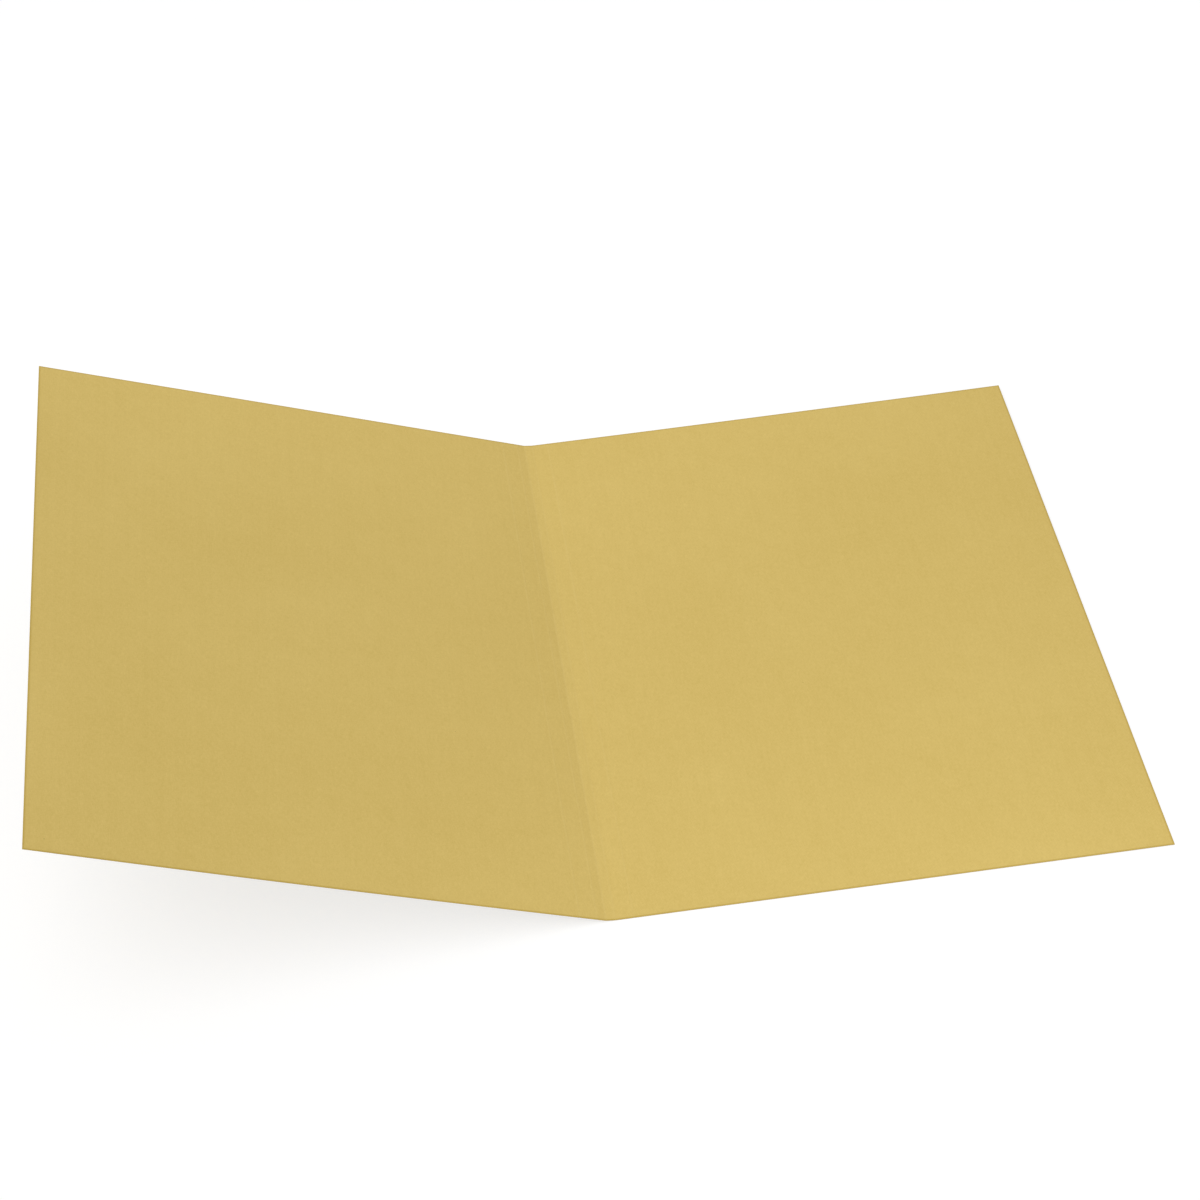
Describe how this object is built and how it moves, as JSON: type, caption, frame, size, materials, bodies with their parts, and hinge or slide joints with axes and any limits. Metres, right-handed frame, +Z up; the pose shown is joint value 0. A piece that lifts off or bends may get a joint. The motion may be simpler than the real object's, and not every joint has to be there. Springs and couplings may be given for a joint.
{
  "type": "manila folder",
  "caption": "Document folder folded from one sheet of manila card, with scored spine strips, square covers and a printed line border on the front.",
  "frame": {"origin": "centre of the closed folder's outline, on the outer face of the back cover, where it lies on the table", "axes": "+X from the fold to the back cover's free edge, +Y along the folds to the folder's top edge, +Z up from the table"},
  "size_m": [0.4841, 0.33, 0.0887],
  "materials": {
    "manila_card": "uncoated machine-finished card, dyed in the mass, with fine fibre mottling",
    "dark_ink": "thin matt offset ink, soaked into the card"
  },
  "bodies": {
    "back_cover": {"back_cover": "manila_card", "back_outer_score": "manila_card"},
    "back_spine": {"back_outer_strip": "manila_card", "back_inner_score": "manila_card", "back_inner_strip": "manila_card", "main_fold": "manila_card"},
    "front_spine": {"front_inner_strip": "manila_card", "front_inner_score": "manila_card", "front_outer_strip": "manila_card"},
    "front_cover": {"front_cover": "manila_card", "front_outer_score": "manila_card", "outer_border_print": "dark_ink", "inner_border_print": "dark_ink", "long_rules_print": "dark_ink", "short_rule_print": "dark_ink"}
  },
  "joints": [
    {"name": "back_outer_bend", "type": "hinge", "parent": "back_cover", "child": "back_spine", "pos_m": [-0.113, 0, 0.0002], "axis": [0, 1, 0], "range_deg": [0, 10]},
    {"name": "cover_fold", "type": "hinge", "parent": "back_spine", "child": "front_spine", "pos_m": [-0.12496, 0, 0.00079], "axis": [0, 1, 0], "range_deg": [-20.6, 139.4]},
    {"name": "front_outer_bend", "type": "hinge", "parent": "front_spine", "child": "front_cover", "pos_m": [-0.13623, 0, 0.00492], "axis": [0, 1, 0], "range_deg": [0, 10]}
  ],
  "couplings": [
    {"joint": "back_outer_bend", "follows": "front_outer_bend", "ratio": 1}
  ]
}
